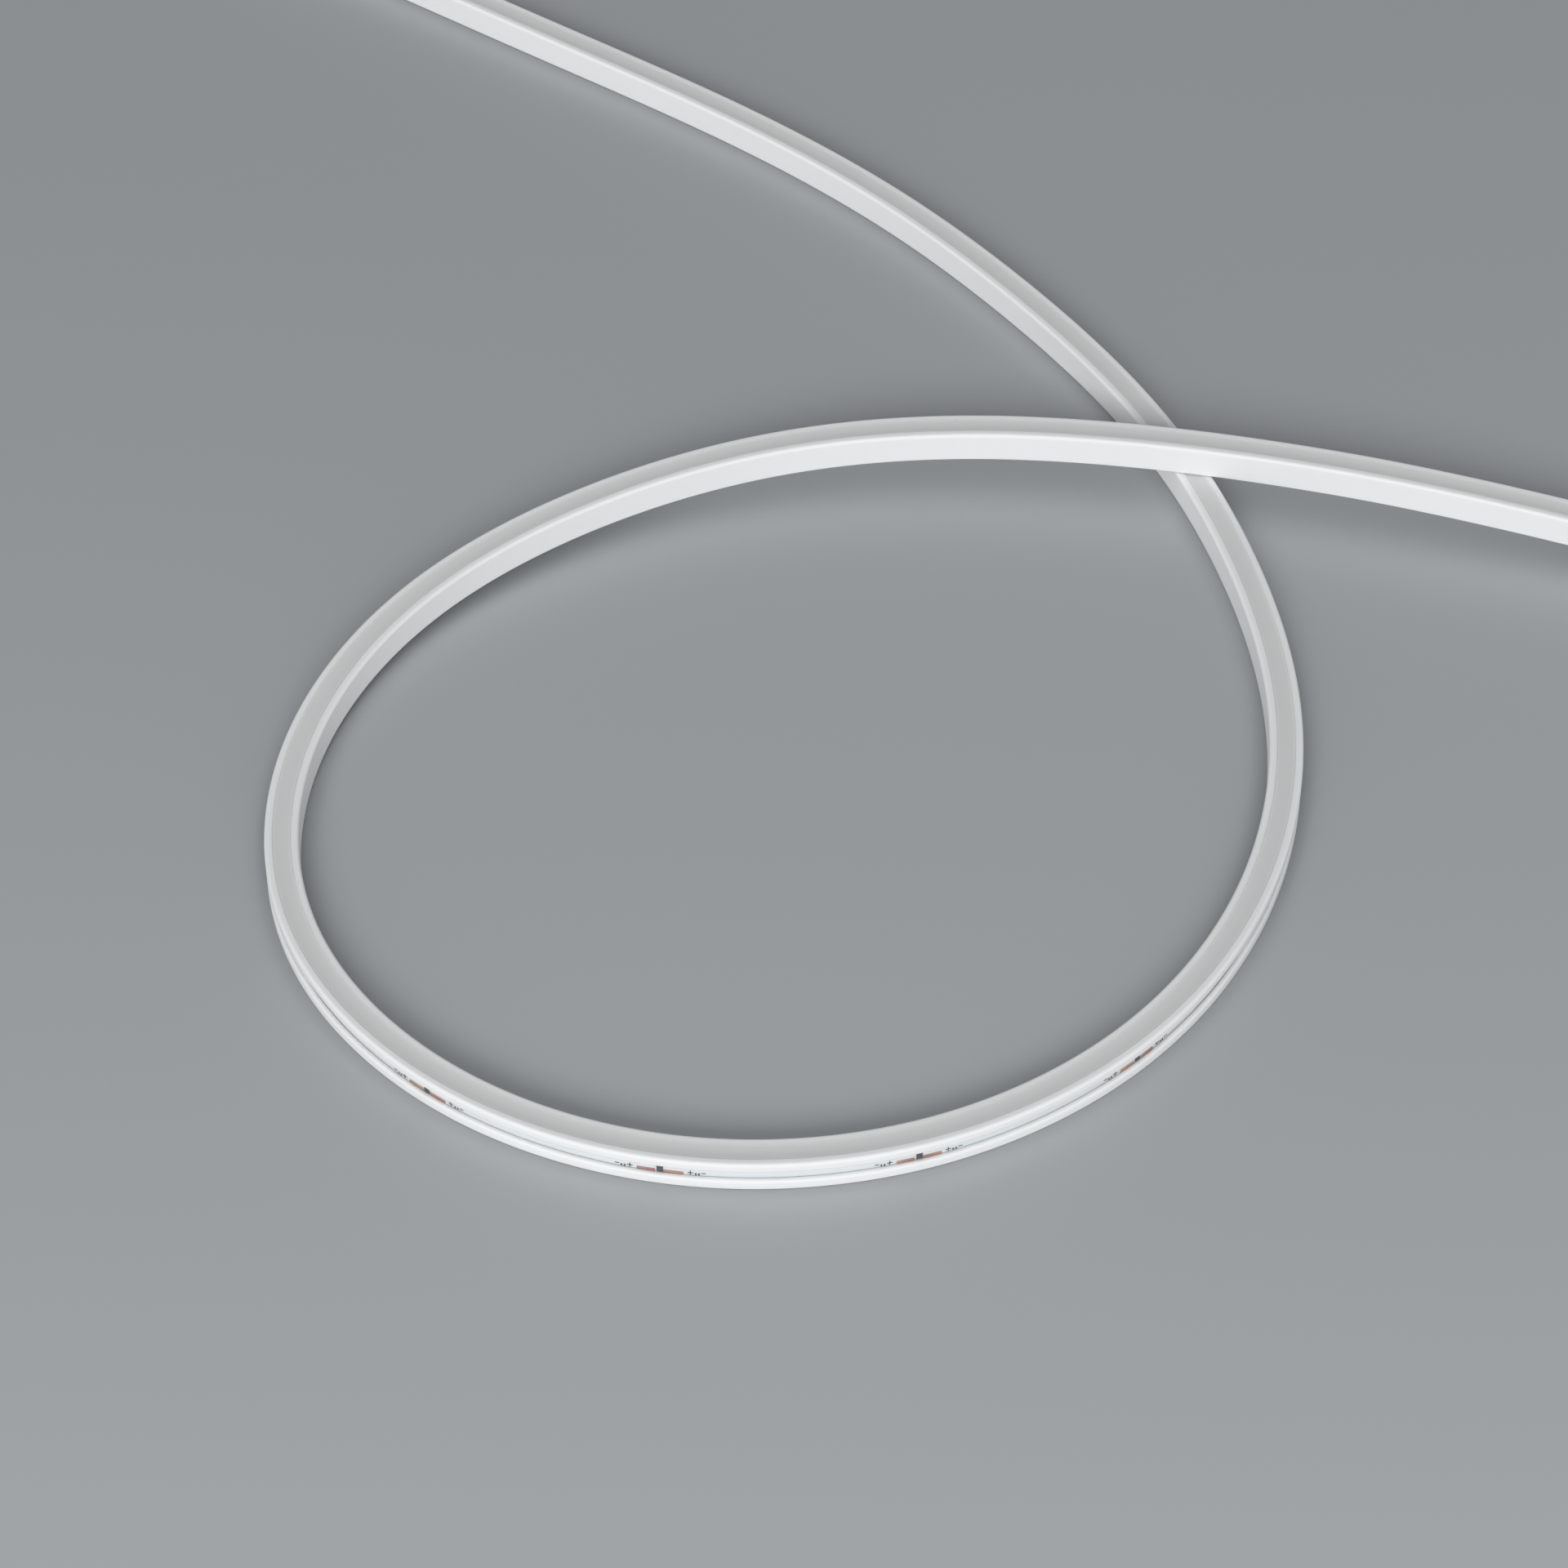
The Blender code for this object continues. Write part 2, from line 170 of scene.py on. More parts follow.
def findCrossing(plan):
    # the two nearest places that lie more than a climb apart along the line
    apart = np.linalg.norm(plan[:, None] - plan[None], axis=2)
    along = distances(plan)
    apart[np.abs(along[:, None] - along[None]) < route["climb"]] = np.inf
    return sorted(np.unravel_index(np.argmin(apart), apart.shape))


def lifts(centre, crossing):
    levelFrom, levelTo = crossing - route["level"] / 2, crossing + route["level"] / 2
    climb = ease(centre, levelFrom - route["climb"], levelFrom)
    hump = climb - ease(centre, levelTo, centre[-1] - route["plainEndOnFloor"])
    rise = route["endRise"]
    ends = ease(rise - centre, 0, rise) + ease(centre, centre[-1] - rise, centre[-1])
    return hump * (section["height"] + route["crossingGap"]) + ends * route["endLift"]


def layRoute():
    plan = naturalSpline(route["points"], route["step"])
    under, over = findCrossing(plan)
    plan *= np.array([route["loopWidth"], route["loopDepth"]]) / np.ptp(plan[under:over], axis=0)
    crossing = distances(plan)[over] - route["start"]
    heading = plan[-1] - plan[-2]
    heading /= np.linalg.norm(heading)
    spare = np.arange(route["step"], runLength, route["step"])
    plan = np.concatenate([plan, plan[-1] + heading * spare[:, None]])
    along = distances(plan)
    cut = np.arange(route["start"], along[-1], route["step"])
    plan = np.stack([np.interp(cut, along, plan[:, axis]) for axis in (0, 1)], axis=1)
    side = sideways(plan)
    board = plan + side * section["boardFace"]
    kept = np.searchsorted(distances(board), runLength) + 1
    lift = lifts(distances(plan[:kept]), crossing)
    return board[:kept] + np.array(route["middle"]), side[:kept], lift


def makeRouteLine():
    mesh = bpy.data.meshes.new("routeLine")
    places = [(x, y, 0) for x, y in boardLine]
    mesh.from_pydata(places, [(i, i + 1) for i in range(len(places) - 1)], [])
    lift = mesh.attributes.new("lift", "FLOAT", "POINT")
    lift.data.foreach_set("value", boardLift.astype(np.float32))
    return addObject("routeLine", mesh, shown=False)


boardLine, boardSide, boardLift = layRoute()
routeLine = makeRouteLine()
print("route laid,", len(boardLine), "points")


# node trees

nodeSpacing = 190


def addNode(tree, kind, inputs=None, **settings):
    node = tree.nodes.new(kind)
    node.location = (nodeSpacing * len(tree.nodes), 0)
    for name, value in settings.items():
        setattr(node, name, value)
    for socket, value in (inputs or {}).items():
        if isinstance(value, bpy.types.NodeSocket):
            tree.links.new(value, node.inputs[socket])
        else:
            node.inputs[socket].default_value = value
    return node


def vectorMath(tree, operation, inputs):
    return addNode(tree, "ShaderNodeVectorMath", inputs, operation=operation).outputs[0]


def newTree(name, inputs):
    tree = bpy.data.node_groups.new(name, "GeometryNodeTree")
    for label, kind in inputs.items():
        tree.interface.new_socket(label, in_out="INPUT", socket_type="NodeSocket" + kind)
    tree.interface.new_socket("Geometry", in_out="OUTPUT", socket_type="NodeSocketGeometry")
    return tree, addNode(tree, "NodeGroupInput").outputs


def layGroup():
    # x goes along the route, y to its side, and z on top of the route's lift
    tree, given = newTree("layOnRoute", {"Geometry": "Geometry", "Route": "Object"})
    straight = addNode(tree, "GeometryNodeInputPosition").outputs[0]
    kept = addNode(
        tree, "GeometryNodeStoreNamedAttribute",
        {"Geometry": given["Geometry"], "Name": "straight", "Value": straight},
        data_type="FLOAT_VECTOR", domain="POINT",
    )
    line = addNode(tree, "GeometryNodeObjectInfo", {"Object": given["Route"]})
    curve = addNode(tree, "GeometryNodeMeshToCurve", {"Mesh": line.outputs["Geometry"]})
    lift = addNode(tree, "GeometryNodeInputNamedAttribute", {"Name": "lift"}, data_type="FLOAT")
    place = addNode(tree, "ShaderNodeSeparateXYZ", {0: straight})
    sample = addNode(
        tree, "GeometryNodeSampleCurve",
        {"Curves": curve.outputs[0], "Value": lift.outputs[0], "Length": place.outputs["X"]},
        data_type="FLOAT", mode="LENGTH", use_all_curves=True,
    )
    side = vectorMath(tree, "CROSS_PRODUCT", {0: (0, 0, 1), 1: sample.outputs["Tangent"]})
    unit = vectorMath(tree, "NORMALIZE", {0: side})
    across = vectorMath(tree, "SCALE", {0: unit, "Scale": place.outputs["Y"]})
    height = addNode(tree, "ShaderNodeMath", {0: place.outputs["Z"], 1: sample.outputs["Value"]})
    up = addNode(tree, "ShaderNodeCombineXYZ", {"Z": height.outputs[0]})
    flat = vectorMath(tree, "ADD", {0: sample.outputs["Position"], 1: across})
    whole = vectorMath(tree, "ADD", {0: flat, 1: up.outputs[0]})
    laid = addNode(
        tree, "GeometryNodeSetPosition", {"Geometry": kept.outputs[0], "Position": whole}
    )
    addNode(tree, "NodeGroupOutput", {"Geometry": laid.outputs[0]})
    return tree


layOnRoute = layGroup()


def finishTree(tree, given, geometry):
    realized = addNode(tree, "GeometryNodeRealizeInstances", {"Geometry": geometry})
    laid = addNode(
        tree, "GeometryNodeGroup", {"Geometry": realized.outputs[0], "Route": given["Route"]},
        node_tree=layOnRoute,
    )
    again = addNode(tree, "GeometryNodeRealizeInstances", {"Geometry": laid.outputs[0]})
    painted = addNode(
        tree, "GeometryNodeSetMaterial", {"Geometry": again.outputs[0], "Material": given["Material"]}
    )
    addNode(tree, "NodeGroupOutput", {"Geometry": painted.outputs[0]})


def strandTree():
    tree, given = newTree("extrudedStrand", {
        "Route": "Object", "Section": "Object", "Length": "Float", "Step": "Float",
        "Material": "Material",
    })
    far = addNode(tree, "ShaderNodeCombineXYZ", {"X": given["Length"]})
    line = addNode(tree, "GeometryNodeCurvePrimitiveLine", {"End": far.outputs[0]})
    count = addNode(
        tree, "ShaderNodeMath", {0: given["Length"], 1: given["Step"]}, operation="DIVIDE"
    )
    fine = addNode(
        tree, "GeometryNodeResampleCurve", {"Curve": line.outputs[0], "Count": count.outputs[0]},
        mode="COUNT",
    )
    shape = addNode(tree, "GeometryNodeObjectInfo", {"Object": given["Section"]})
    outline = addNode(tree, "GeometryNodeMeshToCurve", {"Mesh": shape.outputs["Geometry"]})
    swept = addNode(
        tree, "GeometryNodeCurveToMesh",
        {"Curve": fine.outputs[0], "Profile Curve": outline.outputs[0], "Fill Caps": True},
    )
    finishTree(tree, given, swept.outputs[0])
    return tree


def repeatTree():
    tree, given = newTree("repeatedAlongBoard", {
        "Route": "Object", "Shape": "Object", "First": "Float", "Pitch": "Float", "Count": "Int",
        "Material": "Material",
    })
    first = addNode(tree, "ShaderNodeCombineXYZ", {"X": given["First"]})
    pitch = addNode(tree, "ShaderNodeCombineXYZ", {"X": given["Pitch"]})
    line = addNode(tree, "GeometryNodeMeshLine", {
        "Count": given["Count"], "Start Location": first.outputs[0], "Offset": pitch.outputs[0],
    })
    shape = addNode(tree, "GeometryNodeObjectInfo", {"Object": given["Shape"]})
    copies = addNode(
        tree, "GeometryNodeInstanceOnPoints",
        {"Points": line.outputs[0], "Instance": shape.outputs["Geometry"]},
    )
    finishTree(tree, given, copies.outputs[0])
    return tree


strand = strandTree()
repeated = repeatTree()


def runTree(name, tree, values):
    # a carrier object holds the modifier, and its result becomes a plain mesh at the origin
    carrier = addObject(name + "Carrier", bpy.data.meshes.new(name + "Carrier"))
    modifier = carrier.modifiers.new(tree.name, "NODES")
    modifier.node_group = tree
    sockets = {
        item.name: item.identifier for item in tree.interface.items_tree if item.in_out == "INPUT"
    }
    for label, value in values.items():
        modifier[sockets[label]] = value
    depsgraph = bpy.context.evaluated_depsgraph_get()
    made = carrier.evaluated_get(depsgraph)
    mesh = bpy.data.meshes.new_from_object(made, depsgraph=depsgraph)
    carrier.modifiers.remove(modifier)
    bpy.data.objects.remove(carrier, do_unlink=True)
    mesh.name = name
    smooth(mesh, section["sharpAngle"])
    print(name, len(mesh.polygons), "faces")
    return addObject(name, mesh)


# materials

silicone = {
    "white": (0.82, 0.823, 0.824),
    "roughness": 0.6,
    "specular": 0.06,
    "ior": 1.41,
    "softness": 0.8,  # share of light that goes under the surface
    "depth": 1.0 * mm,
    "mottle": 0.02,
    "mottleScale": 45,
    "mottleDetail": 2,
    "streakScale": (60, 1400, 1400),
    "streakDetail": 3,
    "streak": 0.006 * mm,
    "relief": 0.5,
    "glossSpread": (-0.04, 0.05),
}

band = {
    "grey": (0.66, 0.66, 0.662),
    "edge": (0.72, 0.72, 0.72),  # painted glow: lighter where light from the white rims would show through the band
    "rimGlowReach": 0.9 * mm,
    "roughness": 0.5,
    "specular": 0.3,
    "softness": 0.2,
}

window = {"tint": (0.82, 0.87, 0.89, 1), "alpha": 0.05, "roughness": 0.2}

ink = {"scale": 2500, "detail": 3, "roughness": 0.5, "shader": {"IOR": 1.45}}


def newMaterial(name, **values):
    material = bpy.data.materials.new(name)
    material.use_nodes = True
    shader = material.node_tree.nodes["Principled BSDF"]
    for label, value in values.items():
        shader.inputs[label].default_value = value
    return material, material.node_tree, shader


def softSilicone(name, specular, softness):
    return newMaterial(name, **{
        "IOR": silicone["ior"], "Specular IOR Level": specular,
        "Subsurface Weight": softness, "Subsurface Radius": (1, 1, 1),
        "Subsurface Scale": silicone["depth"],
    })


def straightPlace(tree):
    return addNode(tree, "ShaderNodeAttribute", attribute_name="straight").outputs["Vector"]


def noise(tree, place, scale, detail):
    inputs = {"Vector": place, "Scale": scale, "Detail": detail}
    return addNode(tree, "ShaderNodeTexNoise", inputs).outputs["Fac"]


def mixColour(tree, factor, low, high):
    inputs = {"Factor": factor, 6: low, 7: high}  # 6 and 7 are the two colours
    return addNode(tree, "ShaderNodeMix", inputs, data_type="RGBA").outputs[2]


def roughen(tree, shader, pattern, depth, glossLow, glossHigh):
    # one pattern for the relief and the gloss
    bump = addNode(
        tree, "ShaderNodeBump",
        {"Height": pattern, "Distance": depth, "Strength": silicone["relief"]},
    )
    tree.links.new(bump.outputs[0], shader.inputs["Normal"])
    gloss = addNode(
        tree, "ShaderNodeMapRange", {"Value": pattern, "To Min": glossLow, "To Max": glossHigh}
    )
    tree.links.new(gloss.outputs[0], shader.inputs["Roughness"])


def silkFinish(tree, shader, place, streak, roughness):
    # faint lines along the extrusion
    drawn = addNode(tree, "ShaderNodeMapping", {"Vector": place, "Scale": silicone["streakScale"]})
    lines = noise(tree, drawn.outputs[0], 1, silicone["streakDetail"])
    low, high = silicone["glossSpread"]
    roughen(tree, shader, lines, streak, roughness + low, roughness + high)


def whiteSilicone():
    material, tree, shader = softSilicone(
        "whiteSilicone", silicone["specular"], silicone["softness"]
    )
    place = straightPlace(tree)
    cloud = noise(tree, place, silicone["mottleScale"], silicone["mottleDetail"])
    dark = tuple(channel * (1 - silicone["mottle"]) for channel in silicone["white"])
    colour = mixColour(tree, cloud, (*dark, 1), (*silicone["white"], 1))
    tree.links.new(colour, shader.inputs["Base Color"])
    silkFinish(tree, shader, place, silicone["streak"], silicone["roughness"])
    return material


def milkySilicone():
    material, tree, shader = softSilicone("milkySilicone", band["specular"], band["softness"])
    place = straightPlace(tree)
    split = addNode(tree, "ShaderNodeSeparateXYZ", {0: place})
    across = addNode(tree, "ShaderNodeMath", {0: split.outputs["Y"], 1: section["boardFace"]})
    apart = addNode(tree, "ShaderNodeMath", {0: across.outputs[0]}, operation="ABSOLUTE")
    edge = section["width"] / 2 - section["rim"]
    # painted glow: the band's colour lightens towards the rims, standing in for light from them
    glow = addNode(tree, "ShaderNodeMapRange", {
        "Value": apart.outputs[0], "From Min": edge - band["rimGlowReach"], "From Max": edge,
    }, interpolation_type="SMOOTHSTEP")
    colour = mixColour(tree, glow.outputs[0], (*band["grey"], 1), (*band["edge"], 1))
    tree.links.new(colour, shader.inputs["Base Color"])
    silkFinish(tree, shader, place, silicone["streak"], band["roughness"])
    return material


def clearSilicone():
    material, tree, shader = newMaterial("clearSilicone", **{
        "Base Color": window["tint"], "IOR": silicone["ior"], "Alpha": window["alpha"],
    })
    silkFinish(tree, shader, straightPlace(tree), 0, window["roughness"])
    return material


def speckled(name, look):
    # two shades mixed by a fine noise
    material, tree, shader = newMaterial(name, **look["shader"])
    place = straightPlace(tree)
    low, high = look.get("contrast", (0, 1))
    share = addNode(tree, "ShaderNodeMapRange", {
        "Value": noise(tree, place, look["scale"], look["detail"]), "From Min": low, "From Max": high,
    })
    colour = mixColour(tree, share.outputs[0], *look["shades"])
    tree.links.new(colour, shader.inputs["Base Color"])
    silkFinish(tree, shader, place, 0, look["roughness"])
    return material


# extruded strands

def roundOff(corners, steps=5, support=0.15 * mm):
    # corners are (y, z, radius); points beside each arc keep the flat faces shaded flat
    outline = []
    count = len(corners)
    for i, (y, z, radius) in enumerate(corners):
        here = np.array((y, z))
        if not radius:
            outline.append(here)
            continue
        back = np.array(corners[i - 1][:2]) - here
        on = np.array(corners[(i + 1) % count][:2]) - here
        back, on = back / np.linalg.norm(back), on / np.linalg.norm(on)
        halfAngle = math.acos(back @ on) / 2
        reach = radius / math.tan(halfAngle)
        middle = here + (back + on) / np.linalg.norm(back + on) * radius / math.sin(halfAngle)
        first, last = here + back * reach - middle, here + on * reach - middle
        turn = math.pi - 2 * halfAngle
        outline.append(middle + first + back * support)
        for step in range(steps + 1):
            share = step / steps
            mixed = first * math.sin((1 - share) * turn) + last * math.sin(share * turn)
            outline.append(middle + mixed / math.sin(turn))
        outline.append(middle + last + on * support)
    return outline


def sectionObject(name, corners):
    # a swept outline comes out turned by half a turn, so it starts turned
    outline = [(section["boardFace"] - y, -z, 0) for y, z in roundOff(corners)]
    mesh = bpy.data.meshes.new(name)
    count = len(outline)
    mesh.from_pydata(outline, [(i, (i + 1) % count) for i in range(count)], [])
    return addObject(name, mesh, shown=False)


def makeStrand(name, corners, material):
    shape = sectionObject(name + "Section", corners)
    piece = runTree(name, strand, {
        "Route": routeLine, "Section": shape, "Length": runLength, "Step": section["step"],
        "Material": material,
    })
    bpy.data.objects.remove(shape, do_unlink=True)
    return piece


def standFor(piece, slot, *nodes):
    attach(piece, "root")
    if nodes:
        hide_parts(*nodes)


half = section["width"] / 2
top = section["height"]
bandEdge = half - section["rim"]
rimBottom = top - section["rimDepth"]
windowFace = half - section["groove"]
windowBack = windowFace - section["window"]

siliconeWhite = whiteSilicone()

whiteBody = makeStrand("whiteBody", [
    (-half, 0, section["footRadius"]),
    (half, 0, section["footRadius"]),
    (half, section["lip"], section["lipRadius"]),
    (windowBack, section["lip"], 0),
    (windowBack, section["floor"], 0),
    (-bandEdge, section["floor"], 0),
    (-bandEdge, top, section["innerRadius"]),
    (-half, top, section["topRadius"]),
], siliconeWhite)
standFor(whiteBody, "white_silicone", "white_body")

outerRim = makeStrand("outerRim", [
    (bandEdge, rimBottom, 0),
    (half, rimBottom, section["rimFootRadius"]),
    (half, top, section["topRadius"]),
    (bandEdge, top, section["innerRadius"]),
], siliconeWhite)
standFor(outerRim, "white_silicone", "outer_rim")

dish = [
    (bandEdge * share, top - section["bandDrop"] - section["bandDish"] * (1 - share * share), 0)
    for share in np.linspace(1, -1, section["dishPoints"])
]
milkyCore = makeStrand("milkyCore", [
    (-bandEdge, section["floor"], 0),
    (section["coreSide"], section["floor"], 0),
    (section["coreSide"], rimBottom, 0),
    (bandEdge, rimBottom, 0),
    *dish,
], milkySilicone())
standFor(milkyCore, "milky_silicone", "milky_core")

clearWindow = makeStrand("clearWindow", [
    (windowBack, section["lip"], 0),
    (windowFace, section["lip"], 0),
    (windowFace, rimBottom, section["windowRadius"]),
    (windowBack, rimBottom, 0),
], clearSilicone())
standFor(clearWindow, "clear_silicone", "clear_window")
print("strands done")


# circuit board and what is on it

board = {
    "bottom": 1.9 * mm,
    "top": 7.1 * mm,
    "paint": {
        "shades": ((0.74, 0.77, 0.78, 1), (0.79, 0.81, 0.82, 1)),
        "scale": 300,
        "detail": 4,
        "roughness": 0.4,
        "shader": {"IOR": 1.5, "Coat Weight": 0.2},
    },
    "ledsPerUnit": 6,
    "led": (3.0 * mm, 0.7 * mm, 2.0 * mm),
    "ledWindow": 0.35 * mm,
    "ledSink": 0.12 * mm,
    "ledShades": ((0.72, 0.68, 0.42, 1), (0.8, 0.77, 0.55, 1)),
    "resistor": (2.0 * mm, 0.5 * mm, 1.2 * mm),
    "resistorShades": ((0.02, 0.02, 0.02, 1), (0.04, 0.04, 0.04, 1)),
    "packageBevel": 0.08 * mm,
    "bite": 0.1 * mm,  # how far a package goes into the board
    "middle": 4.5 * mm,
}


def shapeObject(name, bm):
    return addObject(name, meshFrom(name, bm), shown=False)


def repeatPiece(name, shape, material, first, pitch, count):
    return runTree(name, repeated, {
        "Route": routeLine, "Shape": shape, "First": first, "Pitch": pitch, "Count": count,
        "Material": material,
    })


def packageShape(name, size, border):
    # a soldered package on the back of the board, with a bevelled body
    length, depth, height = size
    back = -section["board"]
    low = Vector((-length / 2, back - depth, board["middle"] - height / 2))
    high = Vector((length / 2, back + board["bite"], board["middle"] + height / 2))
    bm = bmesh.new()
    for corner in bmesh.ops.create_cube(bm, size=1)["verts"]:
        corner.co = (low + high) / 2 + corner.co * (high - low)
    bmesh.ops.bevel(
        bm, geom=list(bm.edges), offset=board["packageBevel"], segments=2, affect="EDGES", profile=0.5
    )
    if border:
        face = min(bm.faces, key=lambda f: f.calc_center_median().y)
        bmesh.ops.inset_region(bm, faces=[face], thickness=border, depth=0)
        bmesh.ops.translate(bm, verts=list(face.verts), vec=(0, board["ledSink"], 0))
    return shapeObject(name, bm)


boardStrip = makeStrand("boardStrip", [
    (section["boardFace"] - section["board"], board["bottom"], 0),
    (section["boardFace"], board["bottom"], 0),
    (section["boardFace"], board["top"], 0),
    (section["boardFace"] - section["board"], board["top"], 0),
], speckled("boardWhite", board["paint"]))
standFor(boardStrip, "circuit_board", "led_circuit_board")

ledPitch = units["length"] / board["ledsPerUnit"]
ledRow = repeatPiece(
    "ledRow", packageShape("ledShape", board["led"], board["ledWindow"]),
    speckled("ledPackage", {**ink, "shades": board["ledShades"]}),
    ledPitch / 2, ledPitch, units["count"] * board["ledsPerUnit"],
)
standFor(ledRow, "circuit_board")

resistorRow = repeatPiece(
    "resistorRow", packageShape("resistorShape", board["resistor"], 0),
    speckled("resistorBody", {**ink, "shades": board["resistorShades"]}),
    units["length"] / 2, units["length"], units["count"],
)
standFor(resistorRow, "circuit_board")
print("board done")


# cut points

cutPoint = {
    "gap": 0.04 * mm,
    "markLength": 1.8 * mm,
    "markThickness": 0.12 * mm,
    "markInset": 0.1 * mm,  # below the rim and above the lip
    "markShades": ((0.012, 0.011, 0.011, 1), (0.03, 0.028, 0.028, 1)),
    "padLength": 5.6 * mm,
    "padGap": 0.35 * mm,
    "padUnderMark": 0.3 * mm,
    "padBottom": 2.77 * mm,
    "padTop": 4.2 * mm,
    "padThickness": 0.08 * mm,
    "padCorner": 0.35 * mm,
    "padCuts": 4,
    "cornerSteps": 4,
    "copper": {
        "shades": ((0.4, 0.17, 0.14, 1), (0.54, 0.33, 0.22, 1)),
        "contrast": (0.4, 0.6),
        "scale": 90,
        "detail": 5,
        "roughness": 0.38,
        "shader": {"Metallic": 0.2, "IOR": 1.5},
    },
    "printFrom": 7.6 * mm,  # from the cut point to the nearer end of the small print
    "printBottom": 3.25 * mm,
    "printHeight": 1.6 * mm,
    "printStroke": 0.32 * mm,
    "printThickness": 0.03 * mm,
    "dots": ((2.0 * mm, 2.5 * mm), (2.9 * mm, 3.4 * mm)),
    "dotHeight": 0.8 * mm,
    "minus": (3.8 * mm, 5.0 * mm),
    "printShades": ((0.04, 0.04, 0.04, 1), (0.07, 0.07, 0.07, 1)),
}


def plateInto(bm, xs, zs, ys, corner=0, cuts=0):
    # a thin plate on the board's face, cut across so that it can follow the bend
    (x0, x1), (z0, z1) = xs, zs
    corners = [(x0, z0, corner), (x1, z0, corner), (x1, z1, corner), (x0, z1, corner)]
    outline = roundOff(corners, cutPoint["cornerSteps"], 0)
    rings = [[bm.verts.new((x, y, z)) for x, z in outline] for y in ys]
    faces = [bm.faces.new(ring) for ring in rings]
    for i in range(len(outline)):
        after = (i + 1) % len(outline)
        faces.append(bm.faces.new((rings[0][i], rings[0][after], rings[1][after], rings[1][i])))
    bmesh.ops.recalc_face_normals(bm, faces=faces)
    for x in np.linspace(x0, x1, cuts + 2)[1:-1]:
        whole = [*bm.verts, *bm.edges, *bm.faces]
        bmesh.ops.bisect_plane(bm, geom=whole, plane_co=(x, 0, 0), plane_no=(1, 0, 0))


def padShape():
    bm = bmesh.new()
    face, inner = cutPoint["gap"], cutPoint["markLength"] / 2
    for ends in (
        (-inner - cutPoint["padLength"], -inner + cutPoint["padUnderMark"]),
        (inner + cutPoint["padGap"], inner + cutPoint["padLength"]),
    ):
        plateInto(
            bm, ends, (cutPoint["padBottom"], cutPoint["padTop"]),
            (face, face + cutPoint["padThickness"]), cutPoint["padCorner"], cutPoint["padCuts"],
        )
    return shapeObject("padShape", bm)


def markShape():
    bm = bmesh.new()
    face = 2 * cutPoint["gap"] + cutPoint["padThickness"]
    reach, inset = cutPoint["markLength"] / 2, cutPoint["markInset"]
    plateInto(
        bm, (-reach, reach), (section["lip"] + inset, rimBottom - inset),
        (face, face + cutPoint["markThickness"]), cuts=1,
    )
    return shapeObject("markShape", bm)


def printShape():
    # plain strokes beside each pad: a plus, two dots and a minus
    bm = bmesh.new()
    tall, reach = cutPoint["printHeight"], cutPoint["printStroke"] / 2
    low, face = cutPoint["printBottom"], cutPoint["gap"]
    middle = low + tall / 2
    bars = [
        (0, tall, middle - reach, middle + reach),
        (tall / 2 - reach, tall / 2 + reach, low, middle - reach),
        (tall / 2 - reach, tall / 2 + reach, middle + reach, low + tall),
        (*cutPoint["minus"], middle - reach, middle + reach),
    ]
    bars += [(x0, x1, low, low + cutPoint["dotHeight"]) for x0, x1 in cutPoint["dots"]]
    for side in (-1, 1):
        for x0, x1, z0, z1 in bars:
            ends = sorted(side * (cutPoint["printFrom"] + x) for x in (x0, x1))
            plateInto(bm, ends, (z0, z1), (face, face + cutPoint["printThickness"]))
    return shapeObject("printShape", bm)


numbers = [f"{number:02d}" for number in range(1, units["count"])]
atCuts = (units["length"], units["length"], len(numbers))

copperPads = repeatPiece(
    "copperPads", padShape(), speckled("padCopper", cutPoint["copper"]), *atCuts
)
standFor(copperPads, "copper", *["copper_pads_" + number for number in numbers])

cutMarks = repeatPiece(
    "cutMarks", markShape(), speckled("cutMarkInk", {**ink, "shades": cutPoint["markShades"]}), *atCuts
)
standFor(cutMarks, "black_print", *["cut_mark_" + number for number in numbers])

smallPrint = repeatPiece(
    "smallPrint", printShape(),
    speckled("smallPrintInk", {**ink, "shades": cutPoint["printShades"]}), *atCuts,
)
standFor(smallPrint, "black_print")
print("cut points done")


# moulded end caps

cap = {
    "wall": 1.0 * mm,
    "fit": 0.2 * mm,
    "endWall": 2.0 * mm,
    "grip": 12.0 * mm,
    "edgeRadius": 1.2 * mm,
    "insideRadius": 0.4 * mm,
    "relief": 0.25 * mm,  # the shell lies this much below its bead and ribs
    "slope": 0.2 * mm,
    "bead": 1.1 * mm,
    "ribs": (-7.6 * mm, -6.1 * mm, -4.6 * mm),
    "ribWidth": 0.7 * mm,
    "shoulder": -1.2 * mm,
    "panelDepth": 0.2 * mm,
    "collarRadius": 4.0 * mm,
    "collarLength": 6.0 * mm,
    "collarFoot": ((0, 0.3 * mm), (0.1 * mm, 0.08 * mm), (0.35 * mm, 0)),  # height, extra radius
    "collarGrooves": (1.5 * mm, 3.0 * mm, 4.5 * mm),
    "grooveWidth": 0.7 * mm,
    "grooveDepth": 0.45 * mm,
    "holeRadius": 2.5 * mm,
    "chamfer": 0.25 * mm,
    "gate": (  # depth and radius of the rings in the mark of the mould's gate
        (0, 1.1 * mm), (0, 0.9 * mm), (0.15 * mm, 0.8 * mm), (0.15 * mm, 0.45 * mm),
    ),
    "arcSteps": 8,
    "sideSteps": 6,
    "endSteps": 6,
    "sharpAngle": 40,
    "shades": ((0.76, 0.763, 0.764, 1), (0.81, 0.813, 0.814, 1)),
    "cloudScale": 90,
    "cloudDetail": 3,
    "grainScale": 5200,
    "grainDetail": 2,
    "grainDepth": 0.02 * mm,
    "gloss": (0.5, 0.62),
}


